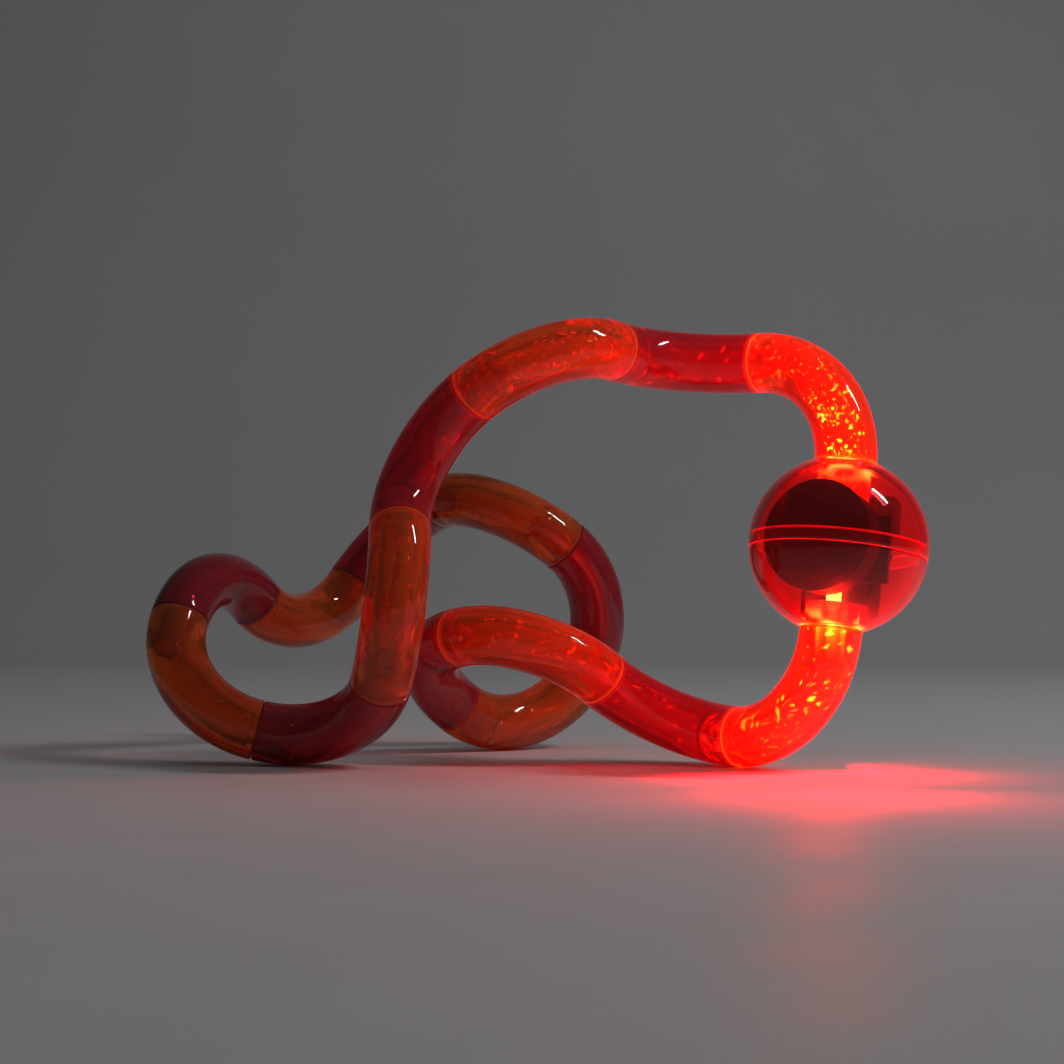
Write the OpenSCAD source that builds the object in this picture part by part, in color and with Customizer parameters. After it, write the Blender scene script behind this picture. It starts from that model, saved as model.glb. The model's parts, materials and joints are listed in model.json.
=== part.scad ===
// Twisty snake puzzle: seventeen quarter-circle tubes and one light-up ball, snapped
// end to end into a closed loop. Every joint turns about the tube's own centre line.
// Millimetres. The loop stands on three of its bends; the origin is under its middle.

/* [Tube] */
// Outer diameter of every tube
tube_d = 12.7; // [12:0.1:13.5]
// Radius of the bend, measured to the centre line
bend_r = 22.5; // [20:0.5:26]
// Diameter of the channel through the bend
core_d = 5.8; // [5:0.1:6.2]
// Gap between two neighbouring tube ends
face_gap = 0.2; // [0.1:0.05:0.4]

/* [Snap joint] */
// Diameter of the plug
plug_d = 7.2; // [6.8:0.1:7.4]
// Length of the plug
plug_len = 8; // [6:0.5:8]
// Diameter of the hole through the plug
plug_core_d = 4.6; // [4:0.1:4.8]
// Height of the snap bead above the plug
bead_h = 0.2; // [0.1:0.05:0.25]
// Radial clearance of a plug in its socket
run_gap = 0.06; // [0.03:0.01:0.1]
// Radial clearance at the one joint where the loop is closed
open_gap = 0.5; // [0.2:0.05:0.6]

/* [Ball] */
// Outer diameter of the ball
ball_d = 36.5; // [35:0.5:40]
// Wall thickness of its two shells
ball_wall = 1.6; // [1.4:0.1:2]
// Diameter of the flat seat at each pole
seat_d = 13.8; // [13.2:0.1:14.5]
// Height of the parting line above the middle
parting_z = -2; // [-3:0.5:0]
// Height of the tongue that the two shells share
tongue_h = 2.7; // [2:0.1:3.5]
// Turn of the ball on its axis, from the bend of tube 1
ball_turn = 97; // [0:1:360]

/* [Batteries and light] */
// Diameter of a coin cell
cell_d = 20; // [19:0.5:20]
// Thickness of a coin cell
cell_t = 1.6; // [1.2:0.1:2]
// Diameter of a light
led_d = 3; // [2.8:0.1:3]
// Thickness of the circuit board
board_t = 1.2; // [0.8:0.1:1.2]

/* [Pose] */
// Heading of the first bend
heading = 143; // [0:1:360]

/* [Hidden] */
$fn = 64;
TUBES = 17;
ORANGE = "#e8650c";
CRIMSON = "#a50f2d";
// Turn at each joint from one tube's plane to the next, before the loop is closed
TWISTS = [85, -148, 118, -148, -81, 81, 54, -157, 65, 93, -75, -9, -64, 0, -170, -66];
// The three tubes that the loop stands on
STANDS_ON = [6, 13, 16];
// Roughly upwards, seen from the first tube
UP_GUESS = [-0.1, 0.1, 1];

tube_r = tube_d / 2;
plug_r = plug_d / 2;
socket_r = plug_r + run_gap;
socket_len = plug_len + 0.5;
ball_r = ball_d / 2;
inner_r = ball_r - ball_wall;
seat_z = sqrt(ball_r * ball_r - seat_d * seat_d / 4);
neck_span = 2 * seat_z + face_gap;
cut = 0.01;

// ---- Where the tubes run ----------------------------------------------------------

// A vector turned about a unit axis
function turned(v, axis, angle) =
    v * cos(angle) + cross(axis, v) * sin(angle) + axis * (axis * v) * (1 - cos(angle));

// Direction of the centre line at each joint, from the ball's top round to its bottom
function directions(twists) =
    [for (k = 0, a = [0, 0, 1], b = [-1, 0, 0]; k <= TUBES;
          c = k < len(twists) ? turned(-a, b, twists[k]) : b, a = b, b = c, k = k + 1) a];

// Place of each joint
function places(dirs) =
    [for (k = 0, p = [0, 0, 0]; k <= TUBES;
          p = k < TUBES ? p + bend_r * (dirs[k] + dirs[k + 1]) : p, k = k + 1) p];

// What is missing for the last tube to meet the ball's lower seat squarely
function miss(dirs, joints) =
    concat(joints[TUBES] + neck_span * dirs[0] - joints[0], bend_r * (dirs[TUBES] - dirs[0]));

// How the miss answers a small turn of each joint
function answers(dirs, joints) =
    [for (k = [1:TUBES - 1])
        concat(cross(dirs[k], joints[TUBES] - joints[k]), bend_r * cross(dirs[k], dirs[TUBES]))];

function transposed(m) = [for (j = [0:len(m[0]) - 1]) [for (row = m) row[j]]];

// Solution of a small symmetric set of equations
function solved(m, v) = len(v) == 1 ? [v[0] / m[0][0]] :
    let (last = len(v) - 1,
         sub_m = [for (i = [1:last]) [for (j = [1:last]) m[i][j] - m[i][0] * m[0][j] / m[0][0]]],
         sub_v = [for (i = [1:last]) v[i] - m[i][0] * v[0] / m[0][0]],
         rest = solved(sub_m, sub_v))
    concat([(v[0] - [for (j = [1:last]) m[0][j]] * rest) / m[0][0]], rest);

// The smallest change of all twists together that closes the loop
function closed(twists, steps = 6) = steps == 0 ? twists :
    let (dirs = directions(twists),
         joints = places(dirs),
         slopes = answers(dirs, joints),
         square = transposed(slopes) * slopes,
         firm = [for (i = [0:5]) [for (j = [0:5]) square[i][j] + (i == j ? 0.0001 : 0)]],
         change = slopes * solved(firm, miss(dirs, joints)))
    closed(twists - change * 180 / PI, steps - 1);

LOOP_DIRS = directions(closed(TWISTS));
LOOP_JOINTS = places(LOOP_DIRS);

// Lowest point of a tube's centre line, looking along a given up direction
function low_point(k, up) =
    let (a = LOOP_DIRS[k - 1] * up,
         b = LOOP_DIRS[k] * up,
         t = min(90, max(0, atan2(-a, b))))
    LOOP_JOINTS[k - 1] + bend_r * (sin(t) * LOOP_DIRS[k - 1] + (1 - cos(t)) * LOOP_DIRS[k]);

// The up direction for which the three standing tubes touch one plane
function settled(up, steps = 8) = steps == 0 ? up :
    let (feet = [for (k = STANDS_ON) low_point(k, up)],
         n = cross(feet[1] - feet[0], feet[2] - feet[0]),
         flat = n / norm(n))
    settled(flat * up > 0 ? flat : -flat, steps - 1);

UP = settled(UP_GUESS / norm(UP_GUESS));
side = LOOP_DIRS[1] - (LOOP_DIRS[1] * UP) * UP;
AHEAD = side / norm(side);
ACROSS = cross(UP, AHEAD);
// Rows of the turn from the loop's own frame to the standing frame
STAND = [AHEAD * cos(heading) - ACROSS * sin(heading), AHEAD * sin(heading) + ACROSS * cos(heading), UP];
BALL_MID = (LOOP_JOINTS[0] + LOOP_JOINTS[TUBES]) / 2;

// Reach of the whole loop against a direction
function reach(dir) = min(
    min([for (k = [1:TUBES]) low_point(k, dir) * dir]) - tube_r,
    min([for (p = LOOP_JOINTS) p * dir]) - tube_r,
    BALL_MID * dir - ball_r);

OFFSET = [(reach(STAND[0]) - reach(-STAND[0])) / 2, (reach(STAND[1]) - reach(-STAND[1])) / 2,
          reach(STAND[2])];
DIRS = [for (d = LOOP_DIRS) STAND * d];
JOINTS = [for (p = LOOP_JOINTS) STAND * p - OFFSET];
BALL_CENTRE = STAND * BALL_MID - OFFSET;

// Sets its children down with their +Z and +X along two square directions
module stand_at(place, z_dir, x_dir) {
    y_dir = cross(z_dir, x_dir);
    multmatrix([for (i = [0:2]) [x_dir[i], y_dir[i], z_dir[i], place[i]]]) children();
}

// ---- Tubes ------------------------------------------------------------------------

// A quarter bend of round bar that starts upwards and turns towards +X
module bend(d, trim = 0) {
    translate([bend_r, 0, 0]) rotate([90, 0, 180])
        rotate([0, 0, trim]) rotate_extrude(angle = 90 - 2 * trim)
            translate([bend_r, 0]) circle(d = d);
}

// A snap plug that points down from z = 0, rooted a little way into the tube above
module plug(gap = 0, bead = true) {
    root = 1.5;
    bead_z = plug_len - 1;
    difference() {
        union() {
            translate([0, 0, -plug_len]) cylinder(r = plug_r - gap, h = plug_len + root);
            if (bead) {
                translate([0, 0, -bead_z]) cylinder(r1 = plug_r + bead_h, r2 = plug_r, h = 0.8);
                translate([0, 0, -bead_z - 0.8]) cylinder(r1 = plug_r, r2 = plug_r + bead_h, h = 0.8);
            }
        }
        translate([0, 0, -plug_len - cut]) cylinder(d = plug_core_d, h = plug_len + root + 2 * cut);
    }
}

// The hole that takes a plug, running down from a face at z = 0
module socket_hole() {
    lead_in = 0.4;
    groove_z = plug_len - 1;
    translate([0, 0, -socket_len]) cylinder(r = socket_r, h = socket_len + 1);
    translate([0, 0, -lead_in]) cylinder(r1 = socket_r, r2 = socket_r + 2 * lead_in, h = 2 * lead_in);
    translate([0, 0, -groove_z - 1]) cylinder(r = socket_r + bead_h, h = 2);
}

// One tube: plug at its near end, socket at its far end
module tube() {
    difference() {
        bend(tube_d, asin(face_gap / 2 / bend_r));
        bend(core_d);
        translate([bend_r, 0, bend_r]) rotate([0, 90, 0]) socket_hole();
    }
    plug();
}

module tube_in_place(k) {
    color(k % 2 == 1 ? ORANGE : CRIMSON, 0.7)
        stand_at(JOINTS[k - 1], DIRS[k - 1], DIRS[k]) tube();
}

// ---- Ball shells --------------------------------------------------------------------

boss_r = 5.4;
tongue_r = inner_r + ball_wall / 2;

// Sets children down in the ball: +Z along its axis, +X the way the battery cap faces
module in_ball() {
    stand_at(BALL_CENTRE, DIRS[0], turned(DIRS[1], DIRS[0], ball_turn)) children();
}

// The solid ball with its two flat seats, between two heights
module ball_slice(low, high, r) {
    intersection() {
        sphere(r = r, $fn = 128);
        translate([0, 0, low]) cylinder(r = ball_d, h = high - low);
    }
}

module ball_upper_shell() {
    boss_z = seat_z - socket_len - 0.8;
    color("crimson", 0.5) in_ball() difference() {
        union() {
            difference() {
                ball_slice(parting_z, seat_z, ball_r);
                sphere(r = inner_r, $fn = 128);
            }
            intersection() {
                translate([0, 0, boss_z]) cylinder(r = boss_r, h = seat_z - boss_z);
                ball_slice(parting_z, seat_z, ball_r);
            }
        }
        translate([0, 0, parting_z - 1]) cylinder(r = tongue_r + run_gap, h = tongue_h + 1.1);
        translate([0, 0, seat_z]) socket_hole();
        translate([0, 0, boss_z - 1]) cylinder(r = led_d / 2 + 0.5, h = 5);
    }
}

module ball_lower_shell() {
    boss_z = -seat_z + 5;
    hole_r = led_d / 2 + 0.5;
    color("crimson", 0.5) in_ball() {
        difference() {
            union() {
                difference() {
                    ball_slice(-seat_z, parting_z, ball_r);
                    sphere(r = inner_r, $fn = 128);
                }
                difference() {
                    translate([0, 0, parting_z - 1]) cylinder(r = tongue_r, h = tongue_h + 1);
                    sphere(r = inner_r, $fn = 128);
                    translate([0, 0, parting_z]) cylinder(r = inner_r, h = tongue_h + 1);
                }
                intersection() {
                    translate([0, 0, -seat_z]) cylinder(r = boss_r, h = boss_z + seat_z);
                    ball_slice(-seat_z, parting_z, ball_r);
                }
            }
            translate([0, 0, -ball_r]) cylinder(r = hole_r, h = ball_r);
        }
        translate([0, 0, -seat_z]) difference() {
            plug(open_gap, false);
            cylinder(r = plug_d, h = 10);
        }
    }
}

// ---- Inside the ball ----------------------------------------------------------------
// Distances along X: the battery pack faces +X, clear of the two bosses on the ball's axis,
// and the board stands behind it.

board_x = -0.2;
cup_x = boss_r + 0.2;
cup_floor = 0.8;
cup_wall = 0.8;
cup_r = cell_d / 2 + 0.1 + cup_wall;
contact_t = 0.3;
rear_cell_x = cup_x + cup_floor + contact_t;
front_cell_x = rear_cell_x + cell_t;
spring_h = 0.8;
cap_x = front_cell_x + cell_t + spring_h;
screw_r = 0.7;
post_y = 7;
post_z = -3;

// A disc, or a bar of round section, along +X
module along_x(x, r, h) {
    translate([x, 0, 0]) rotate([0, 90, 0]) cylinder(r = r, h = h);
}

module battery_cup() {
    pilot = 1.2;
    color("#2a1418") in_ball() difference() {
        union() {
            along_x(cup_x, cup_r, cap_x - cup_x);
            for (y = [-post_y, post_y]) translate([0, y, post_z])
                along_x(board_x + board_t, 1.4, cup_x - board_x - board_t + cut);
        }
        along_x(cup_x + cup_floor, cell_d / 2 + 0.1, cap_x);
        for (y = [-post_y, post_y]) translate([0, y, post_z])
            along_x(board_x, screw_r, board_t + pilot);
        along_x(cup_x - 1, 1.2, 3);
    }
}

// Push-fit cap with stepped rings, a spigot inside the cup and a notch to prise it off
module battery_cap() {
    cap_t = 0.9;
    spigot_r = cell_d / 2 + 0.05;
    color("#3a0d14") in_ball() difference() {
        union() {
            along_x(cap_x, cup_r, cap_t);
            along_x(cap_x + cap_t - cut, cup_r - 1.4, 0.5);
            along_x(cap_x + cap_t + 0.4, cup_r - 3.2, 0.5);
            difference() {
                along_x(cap_x - 0.4, spigot_r, 0.4 + cut);
                along_x(cap_x - 1, spigot_r - 0.9, 1);
            }
        }
        along_x(cap_x + cap_t + 0.2, cup_r - 5, 1);
        translate([cap_x - cut, -1.5, -cup_r - 1]) cube([0.4, 3, 1.5]);
    }
}

// Screw with its head on a face at x and its shank running towards -X
module screw(x, length) {
    head_t = 0.7;
    difference() {
        union() {
            along_x(x, 1.25, head_t);
            along_x(x - length, screw_r, length + cut);
        }
        for (a = [0, 90])
            translate([x + head_t, 0, 0]) rotate([a, 0, 0]) cube([0.7, 1.6, 0.35], center = true);
    }
}

module coin_cell(x) {
    can_t = 1.2;
    along_x(x, cell_d / 2, can_t);
    along_x(x + can_t, cell_d / 2 - 1.2, cell_t - can_t);
}

module front_cell() {
    color("gainsboro") in_ball() coin_cell(front_cell_x);
}

module rear_cell() {
    color("gainsboro") in_ball() coin_cell(rear_cell_x);
}

// Bent spring strip between the front cell and the cap
module leaf_contact() {
    t = 0.3;
    reach_y = 5;
    color("tan") in_ball() translate([cap_x - spring_h, 0, -1.5]) linear_extrude(3)
        polygon([[spring_h, -reach_y], [spring_h, reach_y], [spring_h - t, reach_y],
                 [t, 1.2], [0, 1.2], [0, -1.2], [t, -1.2], [spring_h - t, -reach_y]]);
}

// Plate under the rear cell with a pin that runs back to the board
module rear_contact() {
    color("tan") in_ball() {
        along_x(cup_x + cup_floor, 4, contact_t);
        along_x(board_x + board_t, 0.5, cup_x + cup_floor + cut - board_x - board_t);
    }
}

// The board reaches from one side of the switch to the other side of the cup
board_y = [-9.5, 11];
board_z = [-7.5, 6];
pin_y = 8;
pin_z = [3.4, 5];

module circuit_board() {
    color("darkgreen") in_ball() difference() {
        translate([board_x, board_y[0], board_z[0]])
            cube([board_t, board_y[1] - board_y[0], board_z[1] - board_z[0]]);
        for (y = [-post_y, post_y]) translate([0, y, post_z]) along_x(board_x - 1, screw_r, 4);
        for (z = pin_z) translate([0, pin_y, z]) along_x(board_x - 1, 0.35, 4);
    }
}

// Driver chip and two rows of small components on the back of the board
module board_parts() {
    color("#202020") in_ball() {
        translate([board_x - 1.3, -6.5, 0]) cube([1.3, 4, 5]);
        for (z = [1, 3.2])
            translate([board_x - 0.6, -8.9, z]) cube([0.6, 1.2, 1.6]);
        for (y = [-1, 1.6])
            translate([board_x - 0.6, y, -2.6]) cube([0.6, 1.6, 1.0]);
    }
}

module board_screws() {
    color("silver") in_ball()
        for (y = [-post_y, post_y]) translate([0, y, post_z]) mirror([1, 0, 0])
            screw(-board_x + 4.8, 6.6);
}

// Metal-topped box with the spring that closes the circuit when the ball is shaken
module shake_switch() {
    size = [5, 5.4, 7.6];
    low = [board_x - size[0], boss_r + 0.2, 2.6];
    color("#5a1020") in_ball() {
        translate(low) cube(size);
        translate(low + [size[0] / 2, size[1] / 2, size[2]]) cylinder(r = 1.6, h = 0.5);
        for (z = pin_z) translate([0, pin_y, z]) along_x(board_x - cut, 0.3, board_t + 0.6);
    }
}

// Wedge-shaped carrier that stands in the lower shell and holds the board
module chassis() {
    back = 5;
    front_x = board_x - 0.8;
    top_z = -1;
    low_z = -11.5;
    foot_y = 7.3;
    color("#26090f") in_ball() difference() {
        union() {
            translate([front_x - back + 1, 0, 0]) rotate([90, 0, 90]) linear_extrude(back - 1)
                polygon([[-10, top_z], [10, top_z], [5.5, low_z], [-5.5, low_z]]);
            for (y = [-post_y, post_y]) translate([0, y, post_z])
                along_x(front_x - cut, 1.5, board_x - front_x + cut);
            intersection() {
                for (y = [-foot_y, foot_y])
                    translate([front_x - back + 2.6, y, -ball_r]) cylinder(r = 1.2, h = ball_r - 5);
                sphere(r = inner_r - 0.02, $fn = 128);
            }
        }
        for (y = [-post_y, post_y]) translate([0, y, post_z]) along_x(-8, screw_r, 9);
        translate([0, 0, -ball_r]) cylinder(r = led_d / 2 + 0.6, h = ball_r + top_z + 1);
    }
}

// A light that points up, with its flange at z = 0 and two legs behind the board
module light(leg_len) {
    body_h = 3.8;
    cylinder(d = led_d, h = body_h);
    translate([0, 0, body_h]) sphere(d = led_d);
    cylinder(d = led_d + 0.5, h = 0.6);
    for (y = [-1.2, 1.2])
        translate([board_x - 0.4, y - 0.2, -leg_len]) cube([0.4, 0.4, leg_len + 0.3]);
}

module upper_light() {
    color("lightyellow") in_ball() translate([0, 0, board_z[1] + 0.6]) light(3);
}

module lower_light() {
    color("lightyellow") in_ball() translate([0, 0, board_z[0] - 0.6]) mirror([0, 0, 1]) light(3);
}

// ---- Assembly -----------------------------------------------------------------------

for (k = [1:TUBES]) tube_in_place(k);
ball_upper_shell();
ball_lower_shell();
battery_cup();
battery_cap();
front_cell();
rear_cell();
leaf_contact();
rear_contact();
circuit_board();
board_parts();
board_screws();
shake_switch();
chassis();
upper_light();
lower_light();
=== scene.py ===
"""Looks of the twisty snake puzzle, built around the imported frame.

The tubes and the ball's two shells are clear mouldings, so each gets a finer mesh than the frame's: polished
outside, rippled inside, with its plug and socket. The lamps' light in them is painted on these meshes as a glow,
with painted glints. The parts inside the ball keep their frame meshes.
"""

import json
import math

import bpy
import numpy as np
from mathutils import Matrix, Vector, noise

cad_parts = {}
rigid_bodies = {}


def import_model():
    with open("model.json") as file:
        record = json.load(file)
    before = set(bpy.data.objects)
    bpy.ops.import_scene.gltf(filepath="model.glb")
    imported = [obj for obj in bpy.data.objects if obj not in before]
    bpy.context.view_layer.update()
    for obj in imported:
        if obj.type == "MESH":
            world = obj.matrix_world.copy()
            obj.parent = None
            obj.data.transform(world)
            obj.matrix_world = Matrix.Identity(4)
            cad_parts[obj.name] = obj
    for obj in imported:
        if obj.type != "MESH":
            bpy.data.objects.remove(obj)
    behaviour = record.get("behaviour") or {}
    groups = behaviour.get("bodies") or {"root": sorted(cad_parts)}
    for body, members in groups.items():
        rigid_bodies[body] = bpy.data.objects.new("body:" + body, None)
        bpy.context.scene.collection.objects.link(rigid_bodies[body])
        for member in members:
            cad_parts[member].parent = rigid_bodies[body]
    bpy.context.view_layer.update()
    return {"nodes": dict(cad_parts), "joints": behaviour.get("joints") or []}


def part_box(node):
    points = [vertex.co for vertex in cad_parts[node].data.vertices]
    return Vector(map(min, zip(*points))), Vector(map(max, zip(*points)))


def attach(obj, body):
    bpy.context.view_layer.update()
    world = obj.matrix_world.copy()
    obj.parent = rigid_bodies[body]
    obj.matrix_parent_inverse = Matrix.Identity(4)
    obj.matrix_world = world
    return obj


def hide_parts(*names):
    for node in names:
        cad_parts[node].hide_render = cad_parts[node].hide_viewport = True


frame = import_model()

MM = 0.001
TUBES = 17
TUBE_SEGMENTS = 60
BALL_SEGMENTS = 112

# Tube, in millimetres
TUBE_R = 6.35
CORE_R = 2.9
HALF_GAP = 0.1
EDGE_R = 0.22

# Snap joint
PLUG_R = 3.6
PLUG_CORE_R = 2.3
PLUG_LEN = 8.0
PLUG_ROOT = 1.5
BEAD_H = 0.2
BEAD_AT = 7.0
SOCKET_R = 3.66
SOCKET_LEN = 8.5
LEAD_IN = 0.4
OPEN_PLUG_R = 3.1

# Ball
BALL_R = 18.25
INNER_R = 16.65
SEAT_R = 6.9
BOSS_R = 5.4
LIGHT_HOLE_R = 2.0
PARTING_Z = -2.0
TONGUE_H = 2.7
TONGUE_R = 17.45
SHELL_EDGE = 0.18

# Gaps, steps and small roundings of the shells
JOINT_GAP = 0.06
FACE_GAP = 0.1
CHAMFER = 0.3
LIP_R = 0.15
BOSS_FLOOR = 0.8
BOSS_H = 5.0
BOSS_FILLET = 0.4

# Painted glow of the two lamps in the ball
GLOW_LENGTH = 36.0
LAMP_Z = 12.0
NECK_Z = 15.5

# Materials of a clear moulding: the polished body, and the frosted end of a tube or boss in a shell
BODY, END = 0, 1

# Flecks in a tube's channel, with painted glints where they catch the lamps' light: size, lean along the tube,
# and how many of them there are
FLECKS_AND_GLINTS = {
    1: (1.0, 0.7, 0.65),
    2: (1.9, 1.5, 0.1),
    3: (0.8, 0.2, 0.4),
    15: (1.2, 0.4, 0.1),
    16: (1.8, 1.8, 0.15),
    17: (1.7, 2.2, 0.6),
}
PLAIN_FLECKS_AND_GLINTS = (1.4, 0.5, 0.2)


# ---- The loop, read from the frame --------------------------------------------------


def tube_name(k):
    return f"tube_{k:02d}"


def joint_between(a, b):
    """The joint of two bodies, and whether its axis points from a to b."""
    for joint in frame["joints"]:
        if {joint["parent"], joint["child"]} == {a, b}:
            return joint, joint["parent"] == a
    raise ValueError(f"no joint between {a} and {b}")


def read_loop():
    """Joint places in millimetres and directions of travel, from the ball's top round to its bottom."""
    spin, _ = joint_between(tube_name(1), "ball")
    axis = np.array(spin["axis"])
    places, dirs = [None], [axis]
    for k in range(1, TUBES):
        joint, forward = joint_between(tube_name(k), tube_name(k + 1))
        places.append(np.array(joint["pos_m"]) / MM)
        dirs.append(np.array(joint["axis"]) * (1 if forward else -1))
    dirs.append(axis)
    bend_r = np.linalg.norm(places[2] - places[1]) / math.sqrt(2)
    places[0] = places[1] - bend_r * (dirs[0] + dirs[1])
    places.append(places[-1] + bend_r * (dirs[-2] + axis))
    return places, dirs, bend_r, np.array(spin["pos_m"]) / MM


PLACES, DIRS, BEND_R, BALL_MID = read_loop()
BALL_AXIS = DIRS[0]
BEND_LEN = BEND_R * math.pi / 2


# ---- Meshes made of rings -----------------------------------------------------------


class Rings:
    """A closed skin of rings, each with a centre, two directions across, and a radius that may change round it.
    Each place also carries a painted glow that stands in for the lamps' light: how strongly it glows, and its
    colour from red to yellow. part is the material of the strip that follows the ring."""

    def __init__(self, segments):
        self.angles = np.linspace(0, 2 * math.pi, segments, endpoint=False)
        self.points = []
        self.painted_glow = []
        self.painted_glow_warmth = []
        self.parts = []

    def add(self, centre, across, up, radius, painted_glow=0.0, painted_glow_warmth=0.0, part=BODY):
        radius = np.broadcast_to(radius, self.angles.shape)[:, None]
        spokes = np.cos(self.angles)[:, None] * across + np.sin(self.angles)[:, None] * up
        self.points.append(centre + radius * spokes)
        self.painted_glow.append(np.broadcast_to(painted_glow, self.angles.shape))
        self.painted_glow_warmth.append(np.broadcast_to(painted_glow_warmth, self.angles.shape))
        self.parts.append(part)

    def build(self, name, materials):
        """The object: rings joined in order, the last one to the first."""
        n, m = len(self.points), len(self.angles)
        points = np.concatenate(self.points) * MM
        i, j = np.meshgrid(np.arange(n), np.arange(m), indexing="ij")
        i2, j2 = (i + 1) % n, (j + 1) % m
        quads = np.stack([i * m + j, i * m + j2, i2 * m + j2, i2 * m + j], -1).reshape(-1, 4)
        corners = points[quads]
        normals = np.cross(corners[:, 2] - corners[:, 0], corners[:, 3] - corners[:, 1])
        middle = points.mean(0)
        if np.einsum("ij,ij->", corners.mean(1) - middle, normals) < 0:
            quads = quads[:, ::-1]
        mesh = bpy.data.meshes.new(name)
        mesh.from_pydata(points.tolist(), [], quads.tolist())
        # The painted glow and its colour, kept on the mesh for the material
        for label, values in (("painted_glow", self.painted_glow), ("painted_glow_warmth", self.painted_glow_warmth)):
            layer = mesh.attributes.new(label, "FLOAT", "POINT")
            layer.data.foreach_set("value", np.concatenate(values).astype(np.float32))
        mesh.polygons.foreach_set("material_index", np.repeat(self.parts, m).astype(np.int32))
        mesh.shade_smooth()
        mesh.set_sharp_from_angle(angle=math.radians(50))
        obj = bpy.data.objects.new(name, mesh)
        bpy.context.scene.collection.objects.link(obj)
        for material in materials:
            obj.data.materials.append(material)
        return obj


def smoothstep(x):
    x = np.clip(x, 0, 1)
    return x * x * (3 - 2 * x)


def rounded_edge(outer, edge, steps=5):
    """Distances in from a face, and radii, round an outer edge, starting on the face."""
    turns = np.linspace(math.pi / 2, 0, steps)
    return [(edge * (1 - math.sin(a)), outer - edge * (1 - math.cos(a))) for a in turns]


# ---- Tubes --------------------------------------------------------------------------


def light_path(k, s):
    """How far light from the nearer lamp has travelled along the loop to reach a place s along tube k."""
    from_top = (k - 1) * BEND_LEN + s
    from_bottom = (TUBES - k + 1) * BEND_LEN - s
    return min(from_top, from_bottom)


def painted_glow_at(k, s):
    """How much painted glow of the lamps' light is left at s along tube k, up to 1."""
    return math.exp(-light_path(k, s) / GLOW_LENGTH)


def lumps(k, s, angles):
    """How far the moulded wall of tube k's channel stands in or out at s, from -1 to 1."""
    out = np.empty(len(angles))
    for i, a in enumerate(angles):
        c, q = math.cos(a), math.sin(a)
        broad = noise.noise(Vector((c * 1.3 + 7.1 * k, q * 1.3, s * 0.3)))
        small = noise.noise(Vector((c * 2.6, q * 2.6 + 3.3 * k, s * 0.8)))
        out[i] = 0.75 * broad + 0.4 * small
    return out


def flecks_and_glints(k, s, angles):
    """Small raised flecks on the channel of tube k at s, with painted glints where they catch the lamps' light:
    0 for none, up to 1.
    """
    size, lean, amount = FLECKS_AND_GLINTS.get(k, PLAIN_FLECKS_AND_GLINTS)
    out = np.empty(len(angles))
    for i, a in enumerate(angles):
        c, q = math.cos(a), math.sin(a)
        along = (s + lean * math.sin(a)) * 1.15
        cluster = noise.noise(Vector((2.2 * k, c * 0.8, s * 0.22)))
        value = noise.noise(Vector((c * 3.4 / size, q * 3.4 / size + 9.7 * k, along / size)))
        out[i] = value + 0.35 * cluster
    threshold = 0.5 - 0.28 * amount
    softness = 0.16 if k % 2 else 0.34
    return np.clip((out - threshold) / softness, 0, 1)


class TubePath:
    """Places along one tube: its bend, and the straight runs of its plug and socket."""

    def __init__(self, k):
        self.start, self.end = PLACES[k - 1], PLACES[k]
        self.z, self.x = DIRS[k - 1], DIRS[k]
        self.y = np.cross(self.z, self.x)

    def on_bend(self, s, outwards=0.0):
        t = s / BEND_R
        inwards = math.cos(t) * self.x - math.sin(t) * self.z
        centre = self.start + BEND_R * (math.sin(t) * self.z + (1 - math.cos(t)) * self.x)
        return centre - outwards * inwards, inwards, self.y

    def in_plug(self, s):
        return self.start + s * self.z, self.x, self.y

    def in_socket(self, depth):
        return self.end - (HALF_GAP + depth) * self.x, -self.z, self.y


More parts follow.
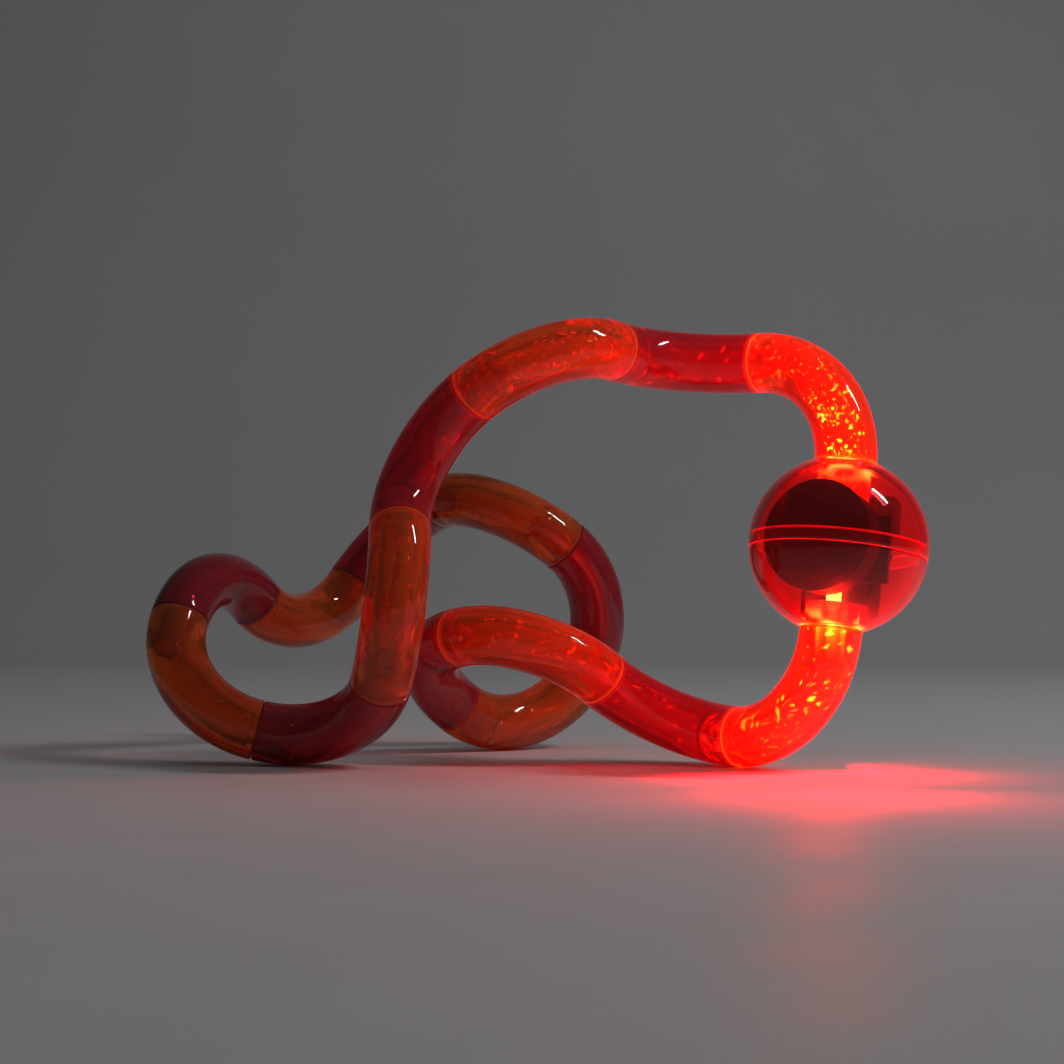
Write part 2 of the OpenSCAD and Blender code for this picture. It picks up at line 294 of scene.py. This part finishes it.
def build_tube(k, materials):
    """One tube as a single closed skin: outside, socket, channel, and plug."""
    path = TubePath(k)
    amber = k % 2 == 1
    rings = Rings(TUBE_SEGMENTS)
    # Colour of the painted bright rims, from red towards yellow
    painted_rim_warmth = 0.5 if amber else 0.1

    def painted_rim_glow(s):
        """Painted glow of an outer edge, a painted bright rim: the brighter the nearer to a lamp, but not where
        it meets the ball.
        """
        glow = painted_glow_at(k, s)
        return min(1.3 * glow, 0.3 + 6 * (1 - glow))

    edge = rounded_edge(TUBE_R, EDGE_R)
    far = BEND_LEN - HALF_GAP
    for inset, radius in edge:
        rings.add(*path.on_bend(HALF_GAP + inset), radius, painted_rim_glow(0), painted_rim_warmth)
    for s in np.linspace(HALF_GAP + EDGE_R, far - EDGE_R, 40)[1:-1]:
        # Painted glow of the lamps' light on the tube's outside
        rings.add(*path.on_bend(s), TUBE_R, 0.3 * painted_glow_at(k, s))
    for inset, radius in edge[::-1]:
        rings.add(*path.on_bend(far - inset), radius, painted_rim_glow(far), painted_rim_warmth)
    rings.parts[-1] = END

    # Socket, from its mouth inwards
    for depth in np.linspace(0, SOCKET_LEN, 24):
        lead_in = max(0.0, LEAD_IN - depth)
        groove = BEAD_H * smoothstep(5 * (1.1 - abs(depth - BEAD_AT)))
        fleck_and_glint = flecks_and_glints(k, far - depth, rings.angles)
        glow = painted_glow_at(k, far - depth)
        # Painted glow, with painted glints on the flecks
        painted_glow = glow * (0.12 + 4.0 * fleck_and_glint)
        rings.add(*path.in_socket(depth), SOCKET_R + lead_in + groove, painted_glow, fleck_and_glint * glow)

    # Channel, back to the plug. The socket is straight, so its bottom lies outside the bend's middle line
    drift = SOCKET_LEN ** 2 / (2 * BEND_R)
    bore_from = far - SOCKET_LEN
    for s in np.linspace(bore_from, PLUG_ROOT, 96):
        away = drift * (1 - smoothstep((bore_from - s) / 10))
        fade = smoothstep((bore_from - s) / 1.5) * smoothstep((s - PLUG_ROOT) / 1.0)
        fleck_and_glint = fade * flecks_and_glints(k, s, rings.angles)
        radius = CORE_R + fade * 0.14 * lumps(k, s, rings.angles) - 0.2 * fleck_and_glint
        glow = painted_glow_at(k, s)
        # Painted glow, brighter with painted glints on the raised flecks
        painted_glow = glow * (0.35 + (4.0 + 7.0 * glow ** 3) * fleck_and_glint)
        rings.add(*path.on_bend(s, away), radius, painted_glow, np.minimum(1, fleck_and_glint * (0.3 + 0.9 * glow)))

    # Plug, out along its hole and back along its outside
    # Painted glow of the lamps' light on the plug's hole and tip
    for s in (PLUG_ROOT, 0, -PLUG_LEN / 2, -PLUG_LEN + 0.1):
        rings.add(*path.in_plug(s), PLUG_CORE_R, 0.3 * painted_glow_at(k, s))
    tip = [(0, PLUG_CORE_R + 0.15), (0, PLUG_R - 0.25), (0.12, PLUG_R - 0.07)]
    for back, radius in tip:
        rings.add(*path.in_plug(back - PLUG_LEN), radius, 0.5 * painted_glow_at(k, 0))
    for s in np.linspace(-PLUG_LEN + 0.2, HALF_GAP, 24):
        bead = BEAD_H * max(0.0, 1 - abs(s + BEAD_AT) / 0.8)
        fleck_and_glint = flecks_and_glints(k, s, rings.angles)
        glow = painted_glow_at(k, s)
        # Painted glow, with painted glints on the flecks
        rings.add(*path.in_plug(s), PLUG_R + bead, glow * (0.3 + 4.0 * fleck_and_glint), fleck_and_glint * glow ** 0.5)
    rings.parts[-1] = END

    obj = rings.build(f"{tube_name(k)}_moulding", materials)
    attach(obj, tube_name(k))
    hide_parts(tube_name(k))


# ---- Ball shells --------------------------------------------------------------------


# A shell's profile is a list of heights above the ball's middle and distances from its axis, in millimetres


def sphere_run(radius, z_from, z_to, count):
    """Heights and radii along a sphere between two heights."""
    a, b = math.asin(z_from / radius), math.asin(z_to / radius)
    return [(radius * math.sin(t), radius * math.cos(t)) for t in np.linspace(a, b, count)]


def painted_lamp_glow(z, r):
    """Painted glow, and its warmth, that a place in a shell gets from the nearer lamp, by its height and its
    distance from the axis."""
    away = max(0.0, math.hypot(r, abs(z) - LAMP_Z - 2.0) - 2.5)
    return 1.3 * math.exp(-away / 2.6), 0.75 * math.exp(-away / 2.2)


def painted_hot_patches(z, r, angles):
    """Uneven painted bright patches where a neck meets the ball: 0 for none, up to 1."""
    near = math.exp(-(((abs(z) - NECK_Z) / 2.2) ** 2)) * smoothstep((7.5 - r) / 2)
    places = [Vector((1.2 * math.cos(a), 1.2 * math.sin(a) + 5, 0.5 * z)) for a in angles]
    return near * np.clip(0.4 + 2.2 * np.array([noise.noise(place) for place in places]), 0, 1)


def painted_stray_glow(z, directions):
    """Painted glow for light scattered in a shell's wall, brighter towards the bottom: little, a painted shade,
    where the battery pack stands in front of the lamps.
    """
    low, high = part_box("battery_cap")
    pack = (np.array(low) + np.array(high)) / (2 * MM) - BALL_MID
    pack /= np.linalg.norm(pack)
    painted_shade = np.array([smoothstep((float(d @ pack) + 0.1) / 0.7) for d in directions])
    return (0.012 + 0.13 * (1 - painted_shade)) * (0.7 + 0.6 * smoothstep((4 - z) / 16))


def revolve(name, profile, materials):
    """A shell from its profile: heights, radii, painted highlights and materials, in order round the wall."""
    across = DIRS[1]
    up = np.cross(BALL_AXIS, across)
    rings = Rings(BALL_SEGMENTS)
    directions = [math.cos(a) * across + math.sin(a) * up for a in rings.angles]
    for z, r, painted_highlight, part in profile:
        painted_glow, painted_glow_warmth = painted_lamp_glow(z, r)
        painted_patch = painted_hot_patches(z, r, rings.angles)
        # Painted glow: the lamp's glow, brightened in the painted patches, plus painted stray glow on the body
        painted_glow = painted_glow * (1 + 22.0 * painted_patch) + (0 if part == END else painted_stray_glow(z, directions))
        painted_glow_warmth = np.minimum(1, painted_glow_warmth + 0.9 * painted_patch)
        rings.add(BALL_MID + z * BALL_AXIS, across, up, r, painted_glow + painted_highlight, painted_glow_warmth, part)
    obj = rings.build(name, materials)
    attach(obj, "ball")
    return obj


def run(points, painted_highlight=0.0, part=BODY):
    """A stretch of a shell's profile."""
    return [(z, r, painted_highlight, part) for z, r in points]


def bar(z_from, z_to, radius, count=14):
    """Places along a straight wall, from one height to another."""
    return [(z, radius) for z in np.linspace(z_from, z_to, count)]


def height_at(sphere_r, r):
    """Height above the middle of a sphere where it is r from the axis."""
    return math.sqrt(sphere_r ** 2 - r ** 2)


SEAT_Z = height_at(BALL_R, SEAT_R)
RIM_R = height_at(BALL_R, PARTING_Z)
BOSS_ROOT_Z = height_at(INNER_R, BOSS_R + BOSS_FILLET)


def parting_edge(towards):
    """The edge of a shell at the parting, with a painted highlight, which leads to its skin above (1) or below
    (-1).
    """
    step = towards * SHELL_EDGE * 0.3
    return run([(PARTING_Z, RIM_R - SHELL_EDGE), (PARTING_Z + step, RIM_R - SHELL_EDGE * 0.3)], 0.9)


def build_upper_shell(materials):
    socket_z = SEAT_Z - SOCKET_LEN
    boss_z = socket_z - BOSS_FLOOR
    recess_z = PARTING_Z + TONGUE_H + FACE_GAP
    recess_r = TONGUE_R + JOINT_GAP
    profile = parting_edge(1)
    profile += run(sphere_run(BALL_R, PARTING_Z + SHELL_EDGE, SEAT_Z, 40))
    profile += run([(SEAT_Z, SOCKET_R + LEAD_IN)] + bar(SEAT_Z - LEAD_IN, socket_z, SOCKET_R), part=END)
    profile += run(bar(socket_z, boss_z, LIGHT_HOLE_R, 3), part=END)
    profile += run([(boss_z, BOSS_R - CHAMFER), (boss_z + CHAMFER, BOSS_R)], part=END)
    profile += run(bar(boss_z + 1, height_at(INNER_R, BOSS_R), BOSS_R), part=END)
    profile += run(sphere_run(INNER_R, BOSS_ROOT_Z, recess_z, 34))
    # Painted highlight on the edge of the recess
    profile += run([(recess_z, recess_r)], 0.45)
    profile += run([(recess_z - CHAMFER, recess_r), (PARTING_Z, recess_r)])
    obj = revolve("upper_shell_moulding", profile, materials)
    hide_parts("ball_upper_shell")


def build_lower_shell(materials):
    tip = -SEAT_Z - PLUG_LEN
    boss_top = -SEAT_Z + BOSS_H
    tongue_top = PARTING_Z + TONGUE_H
    profile = parting_edge(-1)
    profile += run(sphere_run(BALL_R, PARTING_Z - SHELL_EDGE, -SEAT_Z, 36))
    profile += run(bar(-SEAT_Z, tip + CHAMFER, OPEN_PLUG_R) + [(tip, OPEN_PLUG_R - 0.25)], part=END)
    profile += run([(tip, PLUG_CORE_R), (-SEAT_Z, PLUG_CORE_R - 0.1)], part=END)
    profile += run([(-SEAT_Z + CHAMFER, LIGHT_HOLE_R), (boss_top, LIGHT_HOLE_R)], part=END)
    profile += run([(boss_top, BOSS_R - CHAMFER), (boss_top - CHAMFER, BOSS_R)], part=END)
    profile += run(bar(boss_top - 1, -BOSS_ROOT_Z, BOSS_R, 8), part=END)
    profile += run(sphere_run(INNER_R, -BOSS_ROOT_Z, PARTING_Z, 30))
    profile += run([(PARTING_Z + 0.6, INNER_R), (tongue_top - 0.4, INNER_R)])
    # Painted highlights on the tongue's two rounded lips
    profile += run([(tongue_top - LIP_R, INNER_R), (tongue_top, INNER_R + LIP_R)], 0.35)
    profile += run([(tongue_top, TONGUE_R - LIP_R), (tongue_top - LIP_R, TONGUE_R)], 0.5)
    profile += run([(tongue_top - 0.4, TONGUE_R), (PARTING_Z, TONGUE_R)])
    obj = revolve("lower_shell_moulding", profile, materials)
    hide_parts("ball_lower_shell")


# ---- Materials ----------------------------------------------------------------------


class Nodes:
    """A material's node tree with short calls for the nodes used here."""

    def __init__(self, name):
        self.material = bpy.data.materials.new(name)
        self.material.use_nodes = True
        self.tree = self.material.node_tree
        self.tree.nodes.clear()
        self.out = self.tree.nodes.new("ShaderNodeOutputMaterial")
        self.shader = self.tree.nodes.new("ShaderNodeBsdfPrincipled")
        self.link(self.shader.outputs[0], self.out.inputs["Surface"])

    def link(self, a, b):
        self.tree.links.new(a, b)

    def set(self, **values):
        for label, value in values.items():
            self.shader.inputs[label.replace("_", " ")].default_value = value

    def node(self, kind, **inputs):
        made = self.tree.nodes.new(kind)
        for label, value in inputs.items():
            made.inputs[label.replace("_", " ")].default_value = value
        return made

    def coords(self):
        return self.node("ShaderNodeTexCoord").outputs["Object"]

    def noise(self, scale, detail):
        made = self.node("ShaderNodeTexNoise", Scale=scale, Detail=detail)
        self.link(self.coords(), made.inputs["Vector"])
        return made.outputs["Fac"]

    def attribute(self, name):
        made = self.node("ShaderNodeAttribute")
        made.attribute_name = name
        return made.outputs["Fac"]

    def product(self, a, b):
        """A linked value times a number or another linked value."""
        made = self.node("ShaderNodeMath")
        made.operation = "MULTIPLY"
        self.link(a, made.inputs[0])
        if isinstance(b, (int, float)):
            made.inputs[1].default_value = b
        else:
            self.link(b, made.inputs[1])
        return made.outputs[0]

    def spread(self, value, from_low, from_high, to_low, to_high):
        """The value moved from one range to another."""
        made = self.node("ShaderNodeMapRange", From_Min=from_low, From_Max=from_high, To_Min=to_low,
                         To_Max=to_high)
        self.link(value, made.inputs["Value"])
        return made.outputs["Result"]

    def ramp(self, value, stops):
        made = self.node("ShaderNodeValToRGB")
        elements = made.color_ramp.elements
        while len(elements) < len(stops):
            elements.new(0.5)
        for element, (at, colour) in zip(elements, stops):
            element.position = at
            element.color = (*colour, 1)
        self.link(value, made.inputs["Fac"])
        return made.outputs["Color"]

    def bump(self, height, distance, strength=1.0):
        made = self.node("ShaderNodeBump", Distance=distance, Strength=strength)
        self.link(height, made.inputs["Height"])
        self.link(made.outputs["Normal"], self.shader.inputs["Normal"])

    def to(self, value, label):
        self.link(value, self.shader.inputs[label])


# Colours of the painted glow, from red to yellow as it warms
RED_TO_YELLOW = [
    (0.0, (1.0, 0.001, 0.003)),
    (0.25, (1.0, 0.012, 0.004)),
    (0.6, (1.0, 0.16, 0.01)),
    (1.0, (1.0, 0.5, 0.06)),
]


def clear_plastic(name, tint, depth_colour, depth_density, painted_glow_gain, painted_glow_warmest, haze=0.12, frost=0.0):
    """Clear moulded plastic with the lamps' light painted on as an emitted glow, by the strength and warmth
    marked on its mesh.
    """
    n = Nodes(name)
    n.set(Base_Color=(*tint, 1), IOR=1.49, Transmission_Weight=1 - haze)
    n.to(n.spread(n.noise(900, 5), 0.35, 0.75, 0.02 + frost, 0.08 + frost), "Roughness")
    n.bump(n.noise(170, 2), 0.00003, 0.5)
    # Painted glow, mottled at random
    painted_glow_mottle = n.spread(n.noise(240, 4), 0.3, 0.7, 0.7, 1.25)
    n.to(n.product(n.attribute("painted_glow"), n.product(painted_glow_mottle, painted_glow_gain)), "Emission Strength")
    n.to(n.ramp(n.product(n.attribute("painted_glow_warmth"), painted_glow_warmest), RED_TO_YELLOW), "Emission Color")
    absorb = n.node("ShaderNodeVolumeAbsorption", Color=(*depth_colour, 1), Density=depth_density)
    n.link(absorb.outputs[0], n.out.inputs["Volume"])
    return n.material


def moulded_plastic(name, colour, grain=0.00003, gloss=0.35):
    n = Nodes(name)
    tone = n.noise(420, 4)
    low = tuple(c * 0.75 for c in colour)
    high = tuple(min(1, c * 1.35 + 0.004) for c in colour)
    n.to(n.ramp(tone, [(0.3, low), (0.7, high)]), "Base Color")
    n.to(n.spread(n.noise(1600, 3), 0.3, 0.7, gloss - 0.08, gloss + 0.12), "Roughness")
    n.bump(n.noise(2600, 3), grain)
    return n.material


def metal(name, colour, roughness):
    scratch_scale = 2200
    n = Nodes(name)
    n.set(Metallic=1.0)
    tone = n.noise(300, 5)
    n.to(n.ramp(tone, [(0.3, tuple(c * 0.82 for c in colour)), (0.7, colour)]), "Base Color")
    n.to(n.spread(n.noise(scratch_scale, 4), 0.3, 0.7, roughness - 0.08, roughness + 0.1), "Roughness")
    n.bump(n.noise(scratch_scale, 2), 0.000015)
    return n.material


def board_material():
    n = Nodes("circuit_board_laminate")
    tracks = n.node("ShaderNodeTexBrick", Scale=600)
    n.link(n.coords(), tracks.inputs["Vector"])
    n.to(n.ramp(tracks.outputs["Fac"], [(0.0, (0.01, 0.06, 0.025)), (1.0, (0.03, 0.14, 0.05))]), "Base Color")
    n.to(n.spread(n.noise(1500, 3), 0.3, 0.7, 0.25, 0.4), "Roughness")
    n.bump(tracks.outputs["Fac"], 0.00002)
    return n.material


def lamp_material():
    n = Nodes("lamp_dome")
    n.set(Roughness=0.15, IOR=1.5)
    core = n.noise(500, 2)
    n.to(n.ramp(core, [(0.3, (1.0, 0.3, 0.04)), (0.7, (1.0, 0.42, 0.08))]), "Emission Color")
    n.to(n.ramp(core, [(0.3, (0.9, 0.5, 0.3)), (0.7, (1.0, 0.6, 0.4))]), "Base Color")
    n.set(Emission_Strength=28.0)
    return n.material


def floor_material():
    n = Nodes("pale_floor")
    n.to(n.ramp(n.noise(3, 4), [(0.3, (0.60, 0.60, 0.61)), (0.7, (0.64, 0.64, 0.65))]), "Base Color")
    n.to(n.spread(n.noise(40, 4), 0.3, 0.7, 0.42, 0.55), "Roughness")
    return n.material


def dress(node, material):
    """Gives a frame node its material."""
    slots = frame["nodes"][node].data.materials
    if not slots:
        slots.append(material)
    for i in range(len(slots)):
        slots[i] = material


# ---- Stage, lights and camera -------------------------------------------------------


def build_floor():
    """Pale floor that curves up into a backdrop."""
    half_width, front, back, curve, height = 1.6, -1.1, 0.55, 0.35, 1.4
    profile = [(front, 0.0), (back, 0.0)]
    turns = np.linspace(0, math.pi / 2, 17)[1:]
    profile += [(back + curve * math.sin(a), curve * (1 - math.cos(a))) for a in turns]
    profile.append((back + curve, height))
    verts = [(x, y, z) for y, z in profile for x in (-half_width, half_width)]
    faces = [(2 * i, 2 * i + 1, 2 * i + 3, 2 * i + 2) for i in range(len(profile) - 1)]
    mesh = bpy.data.meshes.new("floor")
    mesh.from_pydata(verts, [], faces)
    mesh.shade_smooth()
    floor = bpy.data.objects.new("floor", mesh)
    bpy.context.scene.collection.objects.link(floor)
    floor.data.materials.append(floor_material())


def aim(obj, target):
    direction = Vector(target) - obj.location
    obj.rotation_euler = direction.to_track_quat("-Z", "Y").to_euler()


def area_light(name, place, target, size, power, colour=(1, 1, 1), roll=0.0, in_gloss=False):
    """A rectangular light that the camera doesn't see, and that gloss and clear plastic see only with
    in_gloss."""
    light = bpy.data.lights.new(name, "AREA")
    light.shape = "RECTANGLE"
    light.size, light.size_y = size
    light.energy = power
    light.color = colour
    obj = bpy.data.objects.new(name, light)
    obj.location = place
    aim(obj, target)
    obj.rotation_euler.rotate_axis("Z", roll)
    obj.visible_glossy = in_gloss
    obj.visible_transmission = in_gloss
    obj.visible_camera = False
    bpy.context.scene.collection.objects.link(obj)
    return obj


def build_lights():
    middle = (0, 0, 0.05)
    strip_roll = math.radians(85)
    area_light("strip_light", (0.45, -0.11, 0.52), middle, (0.2, 0.035), 0.9, roll=strip_roll, in_gloss=True)
    area_light("side_softbox", (0.9, 0.1, 0.45), middle, (0.35, 0.45), 1.25)
    area_light("top_softbox", (-0.1, 0.1, 1.0), middle, (0.9, 0.9), 0.85)
    world = bpy.data.worlds.new("studio")
    world.use_nodes = True
    background = world.node_tree.nodes["Background"]
    background.inputs["Color"].default_value = (0.5, 0.51, 0.53, 1)
    background.inputs["Strength"].default_value = 0.055
    bpy.context.scene.world = world
    build_lamp_light()


def build_lamp_light():
    """Red light that the lamps throw on the floor and round the ball. It moves with the tubes it leaves."""
    red = (1.0, 0.003, 0.008)
    x, y, z = BALL_MID * MM
    pool = area_light("lamp_pool", (x - 0.008, y - 0.004, 0.009), (x - 0.006, y - 0.012, 0),
                      (0.042, 0.01), 0.055, red)
    front = area_light("lamp_front", (x - 0.006, y - 0.035, 0.012), (x - 0.002, y - 0.16, 0),
                       (0.018, 0.006), 0.05, red)
    streak = area_light("lamp_streak", (x + 0.004, y + 0.006, 0.004), (x + 0.06, y + 0.006, 0),
                        (0.02, 0.003), 0.012, red)
    side = area_light("lamp_side", (x - 0.024, y, z + 0.004), (x - 0.1, y, z), (0.02, 0.03), 0.035, red)
    for light in (pool, front, streak):
        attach(light, tube_name(TUBES))
    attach(side, tube_name(1))


def build_camera():
    camera = bpy.data.cameras.new("camera")
    camera.sensor_width = 36
    camera.lens = 69.6
    obj = bpy.data.objects.new("camera", camera)
    obj.location = (-0.0005, -0.4527, 0.03715)
    pitch, yaw, roll = (math.radians(a) for a in (1.565, 0.209, 0.2))
    turn = Matrix.Rotation(-yaw, 4, "Z") @ Matrix.Rotation(math.pi / 2 + pitch, 4, "X")
    obj.rotation_euler = (turn @ Matrix.Rotation(roll, 4, "Z")).to_euler()
    bpy.context.scene.collection.objects.link(obj)
    bpy.context.scene.camera = obj


def set_look():
    """Plain colour response, and enough bounces for light to pass a plug inside a socket."""
    scene = bpy.context.scene
    scene.view_settings.view_transform = "Standard"
    scene.cycles.max_bounces = 24
    scene.cycles.transmission_bounces = 24
    scene.cycles.glossy_bounces = 8


# ---- Assembly -----------------------------------------------------------------------


def clear_pair(name, end_name, dye, painted_glow_gain, painted_glow_warmest, haze=0.12, end_haze=0.4, frost=0.35, end_painted_glow_warmest=None):
    """The polished and the frosted material of a clear moulding. A dye is its tint, and its colour and
    density in depth."""
    return [clear_plastic(name, *dye, painted_glow_gain, painted_glow_warmest, haze),
            clear_plastic(end_name, *dye, painted_glow_gain, end_painted_glow_warmest or painted_glow_warmest, end_haze, frost)]


def build_inner_parts():
    dark = moulded_plastic("dark_moulding", (0.012, 0.003, 0.004))
    cap = moulded_plastic("cap_moulding", (0.07, 0.008, 0.012), gloss=0.2)
    steel = metal("cell_can", (0.62, 0.61, 0.60), 0.28)
    brass = metal("contact_metal", (0.72, 0.52, 0.26), 0.3)
    lamp = lamp_material()
    looks = {
        "battery_cup": dark,
        "chassis": dark,
        "battery_cap": cap,
        "front_cell": steel,
        "rear_cell": steel,
        "leaf_contact": brass,
        "rear_contact": brass,
        "board_screws": metal("screw_metal", (0.6, 0.6, 0.62), 0.24),
        "circuit_board": board_material(),
        "board_parts": moulded_plastic("chip_moulding", (0.02, 0.02, 0.022), gloss=0.3),
        "shake_switch": moulded_plastic("switch_moulding", (0.2, 0.02, 0.04), gloss=0.3),
        "upper_light": lamp,
        "lower_light": lamp,
    }
    for node, material in looks.items():
        dress(node, material)


def main():
    build_camera()
    build_lights()
    build_floor()
    set_look()

    amber_dye = (1.0, 0.42, 0.1), (0.97, 0.24, 0.02), 200
    crimson_dye = (0.8, 0.13, 0.19), (0.72, 0.02, 0.08), 240
    ball_dye = (0.95, 0.22, 0.24), (0.9, 0.02, 0.03), 300
    # The last numbers set the strength and warmth of each painted glow
    amber = clear_pair("amber_plastic", "amber_end", amber_dye, 1.5, 1.0)
    crimson = clear_pair("crimson_plastic", "crimson_end", crimson_dye, 1.6, 0.35)
    shell = clear_pair("ball_plastic", "ball_boss", ball_dye, 1.0, 1.0, 0.04, 0.15, 0.22, 1.2)
    for k in range(1, TUBES + 1):
        build_tube(k, amber if k % 2 else crimson)
    build_upper_shell(shell)
    build_lower_shell(shell)
    build_inner_parts()


main()
